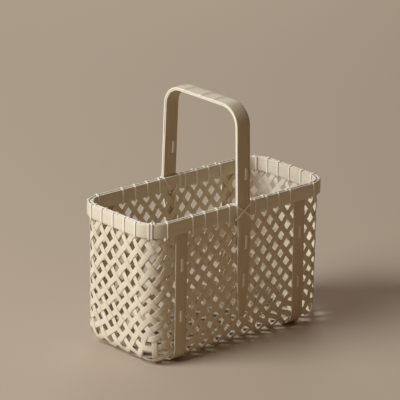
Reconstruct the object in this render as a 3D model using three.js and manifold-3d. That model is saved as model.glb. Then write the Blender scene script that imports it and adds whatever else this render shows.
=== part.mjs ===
import * as THREE from 'three';
import Module from 'manifold-3d';

const wasm = await Module();
wasm.setup();

// Rim: two upright hoops with a groove between them that holds the ends of the weave.
const rimLength = 300;
const rimDepth = 139;
const rimCorner = 32.5;
const rimTop = 187.5;
const rimHeight = 18.1;
const hoopThick = 3.0;
const grooveWide = 3.8;

// Weave: flat splints, measured at the middle of the woven wall, which stands inside the rim.
const endInset = 8.75;
const sideInset = 3.35;
const wallLength = rimLength - 2 * endInset;
const wallDepth = rimDepth - 2 * sideInset;
const wallCorner = 25.5;
const edgeRadius = 21;
const stripWide = 8;
const stripThick = 0.6;
const weaveRise = 1.3;
const stripTop = 182.5;
const bendCos = 0.9;
const wallStep = 15.6;
const baseStep = 17.8;
const cornerStep = 19.2;
const bendRise = 0.55;

// Lattice: half columns along a long side and an end, and the hole rows of the wall.
const sideHalves = 28;
const endHalves = 10;
const firstRowArc = 35;
const cornerLift = 5;
const rowCount = 13.4;
const rowSpread = 0.12;
const lastRow = 13;

// Clearance between pieces that touch.
const fit = 0.3;
const strapFit = 0.5;

// Ribs under the base and up both long walls.
const ribX = rimLength * 0.329;
const ribWide = 18.5;
const ribThick = 2.5;
const tongueThick = 1.0;
const tongueTop = 183.5;
const pocketDeep = 1.35;

// Handle: an outer strip with a thinner lining layer.
const handleWide = 21.2;
const handleTop = 312.5;
const handleBend = 27.7;
const handleHalf = rimDepth / 2 - 0.5;
const strapThick = 2.5;
const liningThick = 1.7;
const bendStart = handleTop - handleBend;
const legTail = 36;
const tailWide = 10.5;
const tailStart = 96;

// Strands.
const bindWide = 2.0;
const bindThick = 0.9;
const stitchWide = 1.7;
const stitchThick = 0.8;
const stitchReach = 10.3;
const stitchRows = [3, 9];
const legRows = [5, 9];
const handleStitchZ = rimTop + 38.5;
const handleStitchReach = 7;
const lashWide = 1.8;
const lashThick = 0.8;

// The ribs lie on the floor, so the base weave starts one clearance above them.
const weaveHalf = weaveRise + stripThick / 2;
const baseZ = ribThick + strapFit + weaveHalf;
const rimLow = rimTop - rimHeight;
const grooveLength = rimLength - 2 * hoopThick - grooveWide;
const grooveDepth = rimDepth - 2 * hoopThick - grooveWide;
const grooveCorner = rimCorner - hoopThick - grooveWide / 2;
const coreX = wallLength / 2 - wallCorner;
const coreY = wallDepth / 2 - wallCorner;
const round = sideHalves * 2 + endHalves * 2;
const arcLength = edgeRadius * Math.PI / 2;
const wallFoot = baseZ + edgeRadius;
const lastRowArc = stripTop - wallFoot + arcLength;

const wood = (color, roughness) => new THREE.MeshStandardMaterial({ color, roughness, metalness: 0 });
const splintWood = wood(0xe3d2a8, 0.6);
const hoopWood = wood(0xe6d8b4, 0.55);
const strapWood = wood(0xdcc89c, 0.5);
const strandWood = wood(0xeadfc0, 0.55);

const basket = new THREE.Group();
basket.name = 'bamboo_basket_bag';

function addNode(name, geometry, material) {
  const mesh = new THREE.Mesh(geometry, material);
  mesh.name = name;
  basket.add(mesh);
}

// Outline of the woven wall at a height: straight above the bottom edge, it widens
// towards the rim and follows the groove between the hoops there.
function outlineAt(z) {
  const t = Math.min(Math.max((z - wallFoot) / (rimLow - wallFoot), 0), 1);
  const length = wallLength + (grooveLength - wallLength) * t;
  const depth = wallDepth + (grooveDepth - wallDepth) * t;
  const corner = wallCorner + (grooveCorner - wallCorner) * t;
  return { hx: length / 2 - corner, hy: depth / 2 - corner, corner };
}

// The four walls in turn round the basket, seen from outside and read to the right.
const sides = [
  { along: [1, 0], out: [0, -1], core: coreX, halves: sideHalves, start: 0 },
  { along: [0, 1], out: [1, 0], core: coreY, halves: endHalves, start: sideHalves },
  { along: [-1, 0], out: [0, 1], core: coreX, halves: sideHalves, start: sideHalves + endHalves },
  { along: [0, -1], out: [-1, 0], core: coreY, halves: endHalves, start: 2 * sideHalves + endHalves },
];

// Point and outward normal on the weave surface: s runs along a wall from its middle,
// v runs up from where the flat base ends.
function place(side, s, v) {
  const turn = Math.min(Math.max(v / edgeRadius, 0), Math.PI / 2);
  const inset = edgeRadius * (1 - Math.sin(turn)) + Math.max(-v, 0);
  const rise = edgeRadius * (1 - Math.cos(turn)) + Math.max(v - arcLength, 0);
  const z = baseZ + rise;
  const outline = outlineAt(z);
  const long = side.along[0] !== 0;
  const half = long ? outline.hx : outline.hy;
  const depth = long ? outline.hy : outline.hx;
  const over = Math.max(Math.abs(s) - side.core, 0) / wallCorner;
  const flat = Math.sign(s) * Math.min(Math.abs(s), side.core) * half / side.core;
  const a = Math.sign(s) * over;
  const nx = side.along[0] * Math.sin(a) + side.out[0] * Math.cos(a);
  const ny = side.along[1] * Math.sin(a) + side.out[1] * Math.cos(a);
  const reach = outline.corner - inset;
  const point = new THREE.Vector3(
    side.along[0] * flat + side.out[0] * depth + nx * reach,
    side.along[1] * flat + side.out[1] * depth + ny * reach,
    z,
  );
  const normal = new THREE.Vector3(nx * Math.sin(turn), ny * Math.sin(turn), -Math.cos(turn));
  return { point, normal };
}

// Point on the weave surface from the flat sheet of the base, wrapped over its edge.
function placeFlat(x, y) {
  const dx = x - Math.min(Math.max(x, -coreX), coreX);
  const dy = y - Math.min(Math.max(y, -coreY), coreY);
  const away = Math.hypot(dx, dy);
  const v = away - (wallCorner - edgeRadius);
  if (v <= 0) {
    return { point: new THREE.Vector3(x, y, baseZ), normal: new THREE.Vector3(0, 0, -1) };
  }
  let side = sides[0];
  if (Math.abs(dx) > Math.abs(dy)) side = dx > 0 ? sides[1] : sides[3];
  else if (dy > 0) side = sides[2];
  const run = x * side.along[0] + y * side.along[1];
  const over = Math.abs(dx * side.along[0] + dy * side.along[1]);
  const front = Math.abs(dx * side.out[0] + dy * side.out[1]);
  const s = over > 0 ? Math.sign(run) * (side.core + wallCorner * Math.atan2(over, front)) : run;
  return place(side, s, v);
}

// Nearest point of the weave surface to any point close to it.
function settle(p) {
  const outline = outlineAt(p.z);
  const cx = Math.min(Math.max(p.x, -outline.hx), outline.hx);
  const cy = Math.min(Math.max(p.y, -outline.hy), outline.hy);
  const dx = p.x - cx;
  const dy = p.y - cy;
  const away = Math.hypot(dx, dy);
  const knee = outline.corner - edgeRadius;
  if (away <= knee) {
    return { point: new THREE.Vector3(p.x, p.y, baseZ), normal: new THREE.Vector3(0, 0, -1) };
  }
  const nx = dx / away;
  const ny = dy / away;
  if (p.z >= wallFoot) {
    const point = new THREE.Vector3(cx + nx * outline.corner, cy + ny * outline.corner, p.z);
    return { point, normal: new THREE.Vector3(nx, ny, 0) };
  }
  const turn = Math.atan2(away - knee, wallFoot - p.z);
  const reach = knee + edgeRadius * Math.sin(turn);
  const point = new THREE.Vector3(cx + nx * reach, cy + ny * reach, wallFoot - edgeRadius * Math.cos(turn));
  return { point, normal: new THREE.Vector3(nx * Math.sin(turn), ny * Math.sin(turn), -Math.cos(turn)) };
}

const sheetX = wallLength / 2 - edgeRadius + firstRowArc;
const sheetY = wallDepth / 2 - edgeRadius + firstRowArc;

function basePoint(bi, bj) {
  return placeFlat(-sheetX + 2 * sheetX * bi / sideHalves, -sheetY + 2 * sheetY * bj / endHalves);
}

function sideOf(i) {
  const k = ((i % round) + round) % round;
  return sides.findIndex((side) => k >= side.start && k <= side.start + side.halves);
}

// A column of the lattice: its wall, its place along it and its share of the half wall.
function columnAt(i) {
  const k = ((i % round) + round) % round;
  const side = sides[sideOf(k)];
  const f = 2 * (k - side.start) / side.halves - 1;
  const span = side.core + wallCorner * Math.PI / 4;
  return { side, s: span * f * (1.018 - 0.018 * f * f), f };
}

// How far up the wall a row lies: the rows open out a little towards the rim.
function rowArc(j) {
  const t = j / rowCount;
  return firstRowArc + (lastRowArc - firstRowArc) * (t - rowSpread * t * (1 - t));
}

// Wall lattice: columns even along the wall, rows from the bottom edge to the rim.
function wallPoint(i, j) {
  const { side, s, f } = columnAt(i);
  const lift = cornerLift * f ** 4 * Math.max(1 - j / lastRow, 0) ** 2;
  return place(side, s, rowArc(j) + lift);
}

function wallToBase(i, j) {
  const k = ((i % round) + round) % round;
  const n = k - sides[sideOf(k)].start;
  return [
    [n, -j],
    [sideHalves + j, n],
    [sideHalves - n, endHalves + j],
    [-j, endHalves - n],
  ][sideOf(k)];
}

// Crossings of the lattice, kept by name: w for a wall, b for the base.
const crossings = new Map();
const keyOf = (chart, a, b) => (chart === 'w' ? `w ${((a % round) + round) % round} ${b}` : `b ${a} ${b}`);

for (let i = 0; i < round; i += 1) {
  for (let j = 0; j <= lastRow + 1; j += 1) {
    if ((i + j) % 2 !== 0) crossings.set(keyOf('w', i, j), wallPoint(i, j));
  }
}
for (let bi = 1; bi < sideHalves; bi += 1) {
  for (let bj = 1; bj < endHalves; bj += 1) {
    if ((bi + bj) % 2 !== 0) crossings.set(keyOf('b', bi, bj), basePoint(bi, bj));
  }
}

// One splint as the list of its crossings, from the rim down, over the base and up again.
function traceStrip(i0, lean) {
  const path = [];
  for (let j = lastRow; j >= 0; j -= 1) {
    path.push({ key: keyOf('w', i0 + lean * j, j), i: i0 + lean * j, j, lean });
  }
  let [bi, bj] = wallToBase(i0, 0);
  const side = sideOf(i0);
  const steps = [[-lean, 1], [-1, -lean], [lean, -1], [1, lean]];
  const [stepX, stepY] = steps[side];
  for (;;) {
    bi += stepX;
    bj += stepY;
    if (bi <= 0 || bi >= sideHalves || bj <= 0 || bj >= endHalves) break;
    path.push({ key: keyOf('b', bi, bj) });
  }
  let i1 = bi;
  let lean1 = stepX;
  if (bi >= sideHalves) {
    i1 = sideHalves + bj;
    lean1 = stepY;
  } else if (bj >= endHalves) {
    i1 = 2 * sideHalves + endHalves - bi;
    lean1 = -stepX;
  } else if (bi <= 0) {
    i1 = round - bj;
    lean1 = -stepY;
  }
  for (let j = 0; j <= lastRow; j += 1) {
    path.push({ key: keyOf('w', i1 + lean1 * j, j), i: i1 + lean1 * j, j, lean: lean1 });
  }
  return { path, i1, lean1 };
}

const strips = [];
const taken = new Set();
for (let i = 1; i < round; i += 2) {
  for (const lean of [1, -1]) {
    if (taken.has(`${i} ${lean}`)) continue;
    const strip = traceStrip(i, lean);
    taken.add(`${i} ${lean}`);
    taken.add(`${strip.i1} ${strip.lean1}`);
    strips.push({ ...strip, i0: i, lean0: lean });
  }
}

// Each crossing knows its neighbours along both of its splints.
const links = new Map();
for (const strip of strips) {
  strip.path.forEach((stop, n) => {
    if (!links.has(stop.key)) links.set(stop.key, []);
    const before = n > 0 ? strip.path[n - 1].key : null;
    const after = n < strip.path.length - 1 ? strip.path[n + 1].key : null;
    links.get(stop.key).push({ strip, before, after });
  });
}

// Near the four bottom corners the splints even out their spacing round the corner.
function isLoose(key) {
  const [chart, a, b] = key.split(' ');
  const x = Number(a);
  const y = Number(b);
  if (chart === 'b') {
    return Math.min(x, sideHalves - x) <= 4 && Math.min(y, endHalves - y) <= 4;
  }
  const near = sides.map((side) => Math.min(Math.abs(x - side.start), round - Math.abs(x - side.start)));
  return Math.min(...near) <= 5 && y <= 5;
}
const loose = [...crossings.keys()].filter((key) => links.has(key) && isLoose(key));
// Rest length of a step: longer under the base, and longest round the three-sided hole
// that each bottom corner of the weave has.
function restOf(key, other) {
  if (key[0] === 'b' || other[0] === 'b') return baseStep;
  return atCornerHole(key) && atCornerHole(other) ? cornerStep : wallStep;
}
function atCornerHole(key) {
  const [, a, b] = key.split(' ').map(Number);
  return b <= 1 && [0, ...sides.map((side) => side.start)].some((start) => {
    const apart = Math.abs(a - start);
    return Math.min(apart, round - apart) <= 1;
  });
}
for (let pass = 0; pass < 200; pass += 1) {
  for (const key of loose) {
    const here = crossings.get(key).point;
    const sum = new THREE.Vector3();
    let count = 0;
    for (const link of links.get(key)) {
      for (const other of [link.before, link.after]) {
        if (other) {
          const from = crossings.get(other).point;
          const away = here.clone().sub(from);
          sum.add(from).addScaledVector(away, restOf(key, other) / away.length());
          count += 1;
        }
      }
    }
    crossings.set(key, settle(sum.multiplyScalar(1 / count)));
  }
}

// Which diagonal of a flat strip's next stretch lies further out; both faces are split along it.
function leansBack(from, to) {
  const out = from[3].clone().sub(from[0]).add(to[3]).sub(to[0]);
  return to[1].clone().add(from[0]).sub(to[0]).sub(from[1]).dot(out) < 0;
}

// Closed solid from a row of sections that all have the same number of corners.
function skin(sections, closed) {
  const count = sections[0].length;
  const positions = [];
  const index = [];
  for (const section of sections) {
    for (const corner of section) positions.push(corner.x, corner.y, corner.z);
  }
  const last = closed ? sections.length : sections.length - 1;
  for (let n = 0; n < last; n += 1) {
    const here = n * count;
    const next = ((n + 1) % sections.length) * count;
    const back = count === 4 && leansBack(sections[n], sections[(n + 1) % sections.length]);
    for (let k = 0; k < count; k += 1) {
      const m = (k + 1) % count;
      if (count === 4 && (k === 3 || (k === 0 && back) || (k === 2 && !back))) {
        index.push(here + k, here + m, next + k, here + m, next + m, next + k);
      } else {
        index.push(here + k, here + m, next + m, here + k, next + m, next + k);
      }
    }
  }
  if (!closed) {
    const end = (sections.length - 1) * count;
    for (let k = 1; k < count - 1; k += 1) {
      index.push(0, k + 1, k);
      index.push(end, end + k, end + k + 1);
    }
  }
  const geometry = new THREE.BufferGeometry();
  geometry.setAttribute('position', new THREE.Float32BufferAttribute(positions, 3));
  geometry.setIndex(index);
  return faceOut(geometry);
}

// Turns a closed solid right side out.
function faceOut(geometry) {
  const at = geometry.getAttribute('position');
  const index = geometry.getIndex().array;
  const p = [new THREE.Vector3(), new THREE.Vector3(), new THREE.Vector3()];
  let volume = 0;
  for (let n = 0; n < index.length; n += 3) {
    for (let k = 0; k < 3; k += 1) p[k].fromBufferAttribute(at, index[n + k]);
    volume += p[0].dot(p[1].clone().cross(p[2]));
  }
  if (volume < 0) {
    for (let n = 0; n < index.length; n += 3) {
      const swap = index[n + 1];
      index[n + 1] = index[n + 2];
      index[n + 2] = swap;
    }
  }
  geometry.computeVertexNormals();
  return geometry;
}

// Half vector across a splint, along the splint that crosses it.
function crossEdge(key, strip) {
  const here = crossings.get(key).point;
  const pair = links.get(key);
  const own = pair.find((link) => link.strip === strip);
  const other = pair.find((link) => link.strip !== strip);
  const run = (link) => {
    const a = link.before ? crossings.get(link.before).point : here;
    const b = link.after ? crossings.get(link.after).point : here;
    return b.clone().sub(a).normalize();
  };
  const along = run(own);
  const across = run(other);
  const sine = along.clone().cross(across).length();
  const turned = across.clone().cross(along).dot(crossings.get(key).normal) > 0 ? 1 : -1;
  return across.multiplyScalar(turned * stripWide / 2 / sine);
}

// The weave lies a little deeper where the wall bends, but not between the hoops.
function riseAt(key) {
  if (crossings.get(key).point.z > rimLow) return weaveRise;
  let bend = 0;
  for (const link of links.get(key)) {
    for (const other of [link.before, link.after]) {
      if (other) bend = Math.max(bend, crossings.get(key).normal.angleTo(crossings.get(other).normal));
    }
  }
  return weaveRise + bendRise * bend * bend;
}

function stripSection(spots, rises) {
  const raised = (spot, rise) => spot.point.clone().addScaledVector(spot.normal, rise);
  const low = spots.map((spot, n) => raised(spot, rises[n] - stripThick / 2));
  const high = spots.map((spot, n) => raised(spot, rises[n] + stripThick / 2));
  return [low[0], low[1], high[1], high[0]];
}

// The trimmed end of a splint, level inside the groove of the rim.
function endSection(strip, atStart) {
  const stops = strip.path;
  const stop = atStart ? stops[0] : stops[stops.length - 1];
  const beyond = crossings.get(keyOf('w', stop.i + stop.lean, lastRow + 1)).point;
  const run = beyond.clone().sub(crossings.get(stop.key).point);
  const half = crossEdge(stop.key, strip);
  const sign = signAt(stop);
  const spots = [];
  const rises = [];
  for (const part of [-1, 1]) {
    const edge = crossings.get(stop.key).point.clone().addScaledVector(half, part);
    const share = (stripTop - edge.z) / run.z;
    spots.push(settle(edge.addScaledVector(run, share)));
    rises.push(sign * weaveRise * (1 - 2 * share));
  }
  return stripSection(spots, rises);
}

// Over and under: a splint leaning right is outside at odd columns.
function signAt(stop) {
  const odd = Math.abs(stop.i) % 2 === 1;
  return (stop.lean > 0) === odd ? 1 : -1;
}

// Section half way between two crossings, on steps that turn with the wall.
function midSection(from, to) {
  const spots = from.map((spot, n) => settle(spot.point.clone().add(to[n].point).multiplyScalar(0.5)));
  return stripSection(spots, [0, 0]);
}

function stripSolid(strip) {
  const first = signAt(strip.path[0]);
  const sections = [endSection(strip, true)];
  let before = null;
  strip.path.forEach((stop, n) => {
    const half = crossEdge(stop.key, strip);
    const centre = crossings.get(stop.key);
    const rise = first * (n % 2 === 0 ? 1 : -1) * riseAt(stop.key);
    const spots = [-1, 1].map((part) => settle(centre.point.clone().addScaledVector(half, part)));
    if (before && before.centre.normal.dot(centre.normal) < bendCos) {
      sections.push(midSection(before.spots, spots));
    }
    sections.push(stripSection(spots, [rise, rise]));
    before = { centre, spots };
  });
  sections.push(endSection(strip, false));
  return skin(sections, false);
}

strips.forEach((strip, n) => {
  addNode(`woven_strip_${String(n + 1).padStart(2, '0')}`, stripSolid(strip), splintWood);
});

function toSolid(geometry) {
  const at = geometry.getAttribute('position');
  return new wasm.Manifold(new wasm.Mesh({
    numProp: 3,
    vertProperties: new Float32Array(at.array),
    triVerts: new Uint32Array(geometry.getIndex().array),
  }));
}

function toGeometry(solid) {
  const mesh = solid.getMesh();
  const geometry = new THREE.BufferGeometry();
  geometry.setAttribute('position', new THREE.Float32BufferAttribute(mesh.vertProperties, 3));
  geometry.setIndex(new THREE.Uint32BufferAttribute(mesh.triVerts, 1));
  geometry.computeVertexNormals();
  return geometry;
}

function boxAt(x, y, z, sx, sy, sz) {
  return wasm.Manifold.cube([sx, sy, sz], true).translate([x, y, z]);
}

// Rounded oblong ring of points at a distance outside the middle of the groove.
function ring(offset, z, steps) {
  const corner = grooveCorner + offset;
  const points = [];
  for (const [sx, sy, from] of [[1, -1, -90], [1, 1, 0], [-1, 1, 90], [-1, -1, 180]]) {
    for (let n = 0; n <= steps; n += 1) {
      const a = THREE.MathUtils.degToRad(from + 90 * n / steps);
      points.push(new THREE.Vector3(
        sx * (grooveLength / 2 - grooveCorner) + corner * Math.cos(a),
        sy * (grooveDepth / 2 - grooveCorner) + corner * Math.sin(a),
        z,
      ));
    }
  }
  return points;
}

// Upright hoop with small rounded arrises.
function hoop(inner, outer) {
  const arris = 0.6;
  const profile = [
    [inner, rimLow + arris],
    [inner + arris, rimLow],
    [outer - arris, rimLow],
    [outer, rimLow + arris],
    [outer, rimTop - arris],
    [outer - arris, rimTop],
    [inner + arris, rimTop],
    [inner, rimTop - arris],
  ];
  const rings = profile.map(([offset, z]) => ring(offset, z, 9));
  return skin(rings[0].map((_, n) => rings.map((points) => points[n])), true);
}

// A hoop's bent ends overlap in a slanted joint on the back of the basket.
function scarf(solid, x, y, lean) {
  const cut = boxAt(0, 0, 0, fit, 30, rimHeight * 2).rotate([0, 0, lean]);
  return solid.subtract(cut.translate([x, y, rimTop - rimHeight / 2]));
}

const hoopFace = grooveWide / 2;
let outerHoop = toSolid(hoop(hoopFace, hoopFace + hoopThick));
const pocketY = grooveDepth / 2 + hoopFace;
for (const x of [-ribX, ribX]) {
  for (const y of [-1, 1]) {
    const deep = pocketDeep + 1;
    const tall = tongueTop + fit - rimLow + 1;
    const middle = rimLow - 1 + tall / 2;
    const wide = ribWide + 2 * fit;
    const pocket = boxAt(x, y * (pocketY + pocketDeep - deep / 2), middle, wide, deep, tall);
    outerHoop = outerHoop.subtract(pocket);
  }
}
const scarfX = rimLength * 0.173;
const scarfY = hoopFace + hoopThick / 2;
outerHoop = scarf(outerHoop, -scarfX, grooveDepth / 2 + scarfY, 78);
const innerRing = toSolid(hoop(-hoopFace - hoopThick, -hoopFace));
const innerHoop = scarf(innerRing, scarfX, grooveDepth / 2 - scarfY, 78);
addNode('outer_rim_hoop', toGeometry(outerHoop), hoopWood);
addNode('inner_rim_hoop', toGeometry(innerHoop), hoopWood);

// Flat strip bent in an upright plane: path points are [distance out, height, thickness] on its
// inner face, the same on both sides of the basket.
function strap(path, x, wide, arris) {
  const points = path.map(([y, z]) => new THREE.Vector2(y, z));
  const sections = path.map(([, , thick], n) => {
    const before = points[Math.max(n - 1, 0)];
    const after = points[Math.min(n + 1, points.length - 1)];
    const here = points[n];
    const a = n > 0 ? here.clone().sub(before).normalize() : after.clone().sub(here).normalize();
    const b = n < points.length - 1 ? after.clone().sub(here).normalize() : a;
    const normal = new THREE.Vector2(a.y + b.y, -a.x - b.x).normalize();
    normal.multiplyScalar(1 / Math.max(normal.dot(new THREE.Vector2(a.y, -a.x)), 0.5));
    const cut = Math.min(arris, thick * 0.4);
    const shoulder = thick - cut;
    const right = [[1, 0, 0], [1, 0, shoulder], [1, cut, thick]];
    const corners = [[-1, 0, 0], ...right, [-1, cut, thick], [-1, 0, shoulder]];
    return corners.map(([edge, inward, lift]) => new THREE.Vector3(
      x + edge * (wide / 2 - inward),
      here.x + normal.x * lift,
      here.y + normal.y * lift,
    ));
  });
  return skin(sections, false);
}

const mirror = (path) => path.slice().reverse().map(([y, z, thick]) => [-y, z, thick]);
const wallFace = (z) => {
  const outline = outlineAt(z);
  return outline.hy + outline.corner + weaveHalf + strapFit;
};

// Rib: half of its inner face, from the middle of the base to the tongue in the rim pocket.
function ribPath() {
  const path = [[0, ribThick, ribThick]];
  const radius = edgeRadius + weaveHalf + strapFit;
  const centre = wallDepth / 2 - edgeRadius;
  for (let n = 0; n <= 8; n += 1) {
    const a = Math.PI / 2 * n / 8;
    path.push([centre + radius * Math.sin(a), wallFoot - radius * Math.cos(a), ribThick]);
  }
  path.push([wallFace(rimLow - 0.4), rimLow - 0.4, ribThick]);
  path.push([wallFace(rimLow), rimLow, tongueThick]);
  path.push([wallFace(tongueTop), tongueTop, tongueThick]);
  return path;
}

// Heights of a wall row, in the middle of a long wall.
const rowZ = (j) => wallFoot - arcLength + rowArc(j);

function pierce(solid, x, side, z, thick) {
  const hole = stitchWide + 2 * fit;
  const tall = stitchThick + 2 * fit;
  return solid.subtract(boxAt(x, side * (wallFace(z) + thick / 2), z, hole, 12, tall));
}

for (const [name, x] of [['left', -ribX], ['right', ribX]]) {
  const half = ribPath();
  let rib = toSolid(strap([...mirror(half).slice(0, -1), ...half], x, ribWide, 0.6));
  for (const row of stitchRows) {
    for (const side of [-1, 1]) {
      rib = pierce(rib, x, side, rowZ(row) - stitchReach, ribThick);
      rib = pierce(rib, x, side, rowZ(row) + stitchReach, ribThick);
    }
  }
  addNode(`${name}_rib`, toGeometry(rib), strapWood);
}

// Handle: half of the inner face of a layer whose outer face is a distance inside the arch.
const rimFace = rimDepth / 2 + fit;
const archFace = (z) => {
  const t = (z - rimTop) / (bendStart - rimTop);
  return rimFace + (handleHalf - strapThick - rimFace) * t;
};

function archPath(inside, thick) {
  const path = [];
  const radius = handleBend - inside - thick;
  const flat = handleHalf - handleBend;
  for (let n = 10; n >= 0; n -= 1) {
    const a = Math.PI / 2 * n / 10;
    path.push([flat + radius * Math.cos(a), handleTop - handleBend + radius * Math.sin(a), thick]);
  }
  return path.reverse();
}

function outerHandlePath() {
  const legLow = rimLow - 19.4;
  const legKnee = rimLow - 12.4;
  const legMiddle = (legTail + legLow) / 2;
  return [
    [wallFace(legTail), legTail, 1.2],
    [wallFace(legTail + 14), legTail + 14, strapThick],
    [wallFace(legMiddle), legMiddle, strapThick],
    [wallFace(legLow), legLow, strapThick],
    [wallFace(legKnee) + 0.7, legKnee, strapThick],
    [rimFace - 0.9, rimLow - 5, strapThick],
    [rimFace, rimLow, strapThick],
    [rimFace, rimTop, strapThick],
    ...archPath(0, strapThick),
  ];
}

function liningPath() {
  const inset = fit + liningThick;
  return [
    [rimFace - inset, rimTop + fit, liningThick],
    ...archPath(strapThick + fit, liningThick),
  ];
}

function handleLayer(half, arris) {
  return toSolid(strap([...half, ...mirror(half)], 0, handleWide, arris));
}

let outerStrip = handleLayer(outerHandlePath(), 0.7);
let lining = handleLayer(liningPath(), 0.4);
// Each leg narrows to its end, and is pierced for its stitches.
const tailSlope = THREE.MathUtils.radToDeg(Math.atan2((handleWide - tailWide) / 2, tailStart - legTail));
for (const side of [-1, 1]) {
  for (const edge of [-1, 1]) {
    let wedge = boxAt(edge * 10, 0, -tailStart / 2, 20, 20, tailStart).rotate([0, edge * tailSlope, 0]);
    wedge = wedge.translate([edge * (handleWide / 2 + 0.1), side * wallFace(tailStart), tailStart]);
    outerStrip = outerStrip.subtract(wedge);
  }
  for (const row of legRows) {
    outerStrip = pierce(outerStrip, 0, side, rowZ(row) - stitchReach, strapThick);
    outerStrip = pierce(outerStrip, 0, side, rowZ(row) + stitchReach, strapThick);
  }
  for (const step of [-handleStitchReach, handleStitchReach]) {
    const z = handleStitchZ + step;
    const hole = boxAt(0, side * archFace(z), z, stitchWide + 2 * fit, 14, stitchThick + 2 * fit);
    outerStrip = outerStrip.subtract(hole);
    lining = lining.subtract(hole);
  }
}
addNode('handle_outer_strip', toGeometry(outerStrip), strapWood);
addNode('handle_lining_strip', toGeometry(lining), strapWood);

// Flat strand along a row of stops, each with the direction its width faces there.
function strand(stops, wide, thick, closed) {
  const count = stops.length;
  const sections = stops.map(({ at, width }, n) => {
    const before = closed ? stops[(n + count - 1) % count].at : stops[Math.max(n - 1, 0)].at;
    const after = closed ? stops[(n + 1) % count].at : stops[Math.min(n + 1, count - 1)].at;
    const a = (at === before ? after.clone().sub(at) : at.clone().sub(before)).normalize();
    const b = (at === after ? a.clone() : after.clone().sub(at)).normalize();
    const liftA = a.cross(width).normalize();
    const liftB = b.cross(width).normalize();
    const lift = liftA.clone().add(liftB).normalize();
    lift.multiplyScalar(thick / 2 / Math.max(lift.dot(liftA), 0.6));
    const half = width.clone().multiplyScalar(wide / 2);
    return [[-1, -1], [1, -1], [1, 1], [-1, 1]].map(([w, t]) => (
      at.clone().addScaledVector(half, w).addScaledVector(lift, t)
    ));
  });
  return skin(sections, closed);
}

// Rounds each corner of a path into two stops.
function soften(points, radius, closed) {
  const out = [];
  points.forEach((point, n) => {
    if (!closed && (n === 0 || n === points.length - 1)) {
      out.push(point);
      return;
    }
    for (const other of [points[(n + points.length - 1) % points.length], points[(n + 1) % points.length]]) {
      const away = other.clone().sub(point);
      out.push(point.clone().addScaledVector(away, Math.min(radius / away.length(), 0.4)));
    }
  });
  return out;
}

// Strand in an upright plane across a long wall: points are [distance out, height].
function planarStrand(x, side, points, closed) {
  const line = soften(points.map(([u, z]) => new THREE.Vector3(x, side * u, z)), 0.7, closed);
  const stops = line.map((at) => ({ at, width: new THREE.Vector3(1, 0, 0) }));
  return strand(stops, stitchWide, stitchThick, closed);
}

const behind = (z) => wallFace(z) - strapFit - 2 * weaveHalf - fit - stitchThick / 2;
const overStrap = (z) => wallFace(z) + strapThick + fit + stitchThick / 2;

// Rib stitches: loops round a crossing of the weave and through two holes in the rib.
for (const [name, x] of [['left', -ribX], ['right', ribX]]) {
  for (const [wallName, side] of [['front', -1], ['back', 1]]) {
    stitchRows.forEach((row, n) => {
      const low = rowZ(row) - stitchReach;
      const high = rowZ(row) + stitchReach;
      const outer = [[overStrap(low), low], [overStrap(high), high]];
      const loop = [[behind(low), low], ...outer, [behind(high), high]];
      const level = n === 0 ? 'lower' : 'upper';
      addNode(`${name}_rib_${wallName}_${level}_stitch`, planarStrand(x, side, loop, true), strandWood);
    });
  }
}

// Leg lacings: one strand a leg that shows twice and runs down inside between.
for (const [name, side] of [['front', -1], ['back', 1]]) {
  const [low, high] = legRows.map(rowZ);
  const line = [[behind(high + 15), high + 15]];
  for (const middle of [high, low]) {
    const top = middle + stitchReach;
    const bottom = middle - stitchReach;
    line.push([behind(top), top], [overStrap(top), top]);
    line.push([overStrap(bottom), bottom], [behind(bottom), bottom]);
  }
  line.push([behind(low - 15), low - 15]);
  addNode(`${name}_leg_lacing`, planarStrand(0, side, line, false), strandWood);
}

// Handle stitches: loops through both layers of the handle above the rim.
for (const [name, side] of [['front', -1], ['back', 1]]) {
  const low = handleStitchZ - handleStitchReach;
  const high = handleStitchZ + handleStitchReach;
  const outside = (z) => archFace(z) + strapThick + fit + stitchThick / 2;
  const within = (z) => archFace(z) - 2 * fit - liningThick - stitchThick / 2;
  const loop = [[within(low), low], [outside(low), low], [outside(high), high], [within(high), high]];
  addNode(`handle_${name}_stitch`, planarStrand(0, side, loop, true), strandWood);
}

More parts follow.
